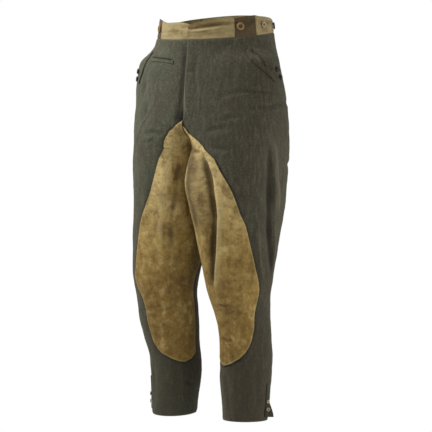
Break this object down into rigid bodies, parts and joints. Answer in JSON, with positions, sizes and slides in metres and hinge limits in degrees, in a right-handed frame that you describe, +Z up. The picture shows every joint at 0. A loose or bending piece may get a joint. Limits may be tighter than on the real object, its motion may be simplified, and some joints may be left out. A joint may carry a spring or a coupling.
{
  "type": "riding breeches",
  "caption": "Wool riding breeches with leather strapping, worn shape with open waist and hems, a close waistband in pieces, slit pockets and calf slits.",
  "frame": {"origin": "middle of the waist opening, 13 mm above the seam that joins the waistband to the legs, where the wearer's waist holds it up", "axes": "+Z up along the wearer, -Y to the front, +X to the wearer's left"},
  "size_m": [0.3933, 0.2619, 0.9653],
  "materials": {
    "wool": "napped field-grey wool",
    "leather": "worn sueded tan leather",
    "cotton": "pale plain-weave cotton",
    "brown_cloth": "brown twill cotton",
    "horn": "dark polished horn",
    "bone": "pale bone, worn matt"
  },
  "bodies": {
    "root": {"back_left": "wool", "back_right": "wool", "band_back_left": "cotton", "band_back_right": "cotton", "band_button_back_left": "horn", "band_button_back_right": "horn", "band_button_front_left": "bone", "band_button_front_right": "bone", "band_button_middle_left": "bone", "band_button_middle_right": "bone", "band_front_left": "cotton", "band_front_right": "cotton", "band_side_left": "brown_cloth", "band_side_right": "brown_cloth", "calf_button_lower_left": "bone", "calf_button_lower_right": "bone", "calf_button_upper_left": "bone", "calf_button_upper_right": "bone", "calf_placket_left": "wool", "calf_placket_right": "wool", "front_left": "wool", "front_right": "wool", "pocket_button_lower_left": "horn", "pocket_button_lower_right": "horn", "pocket_button_upper_left": "horn", "pocket_button_upper_right": "horn", "side_pocket_welt_left": "wool", "side_pocket_welt_right": "wool", "slit_pocket_welt_right": "wool", "strapping_back_left": "leather", "strapping_back_right": "leather", "strapping_front_left": "leather", "strapping_front_right": "leather"}
  },
  "joints": []
}
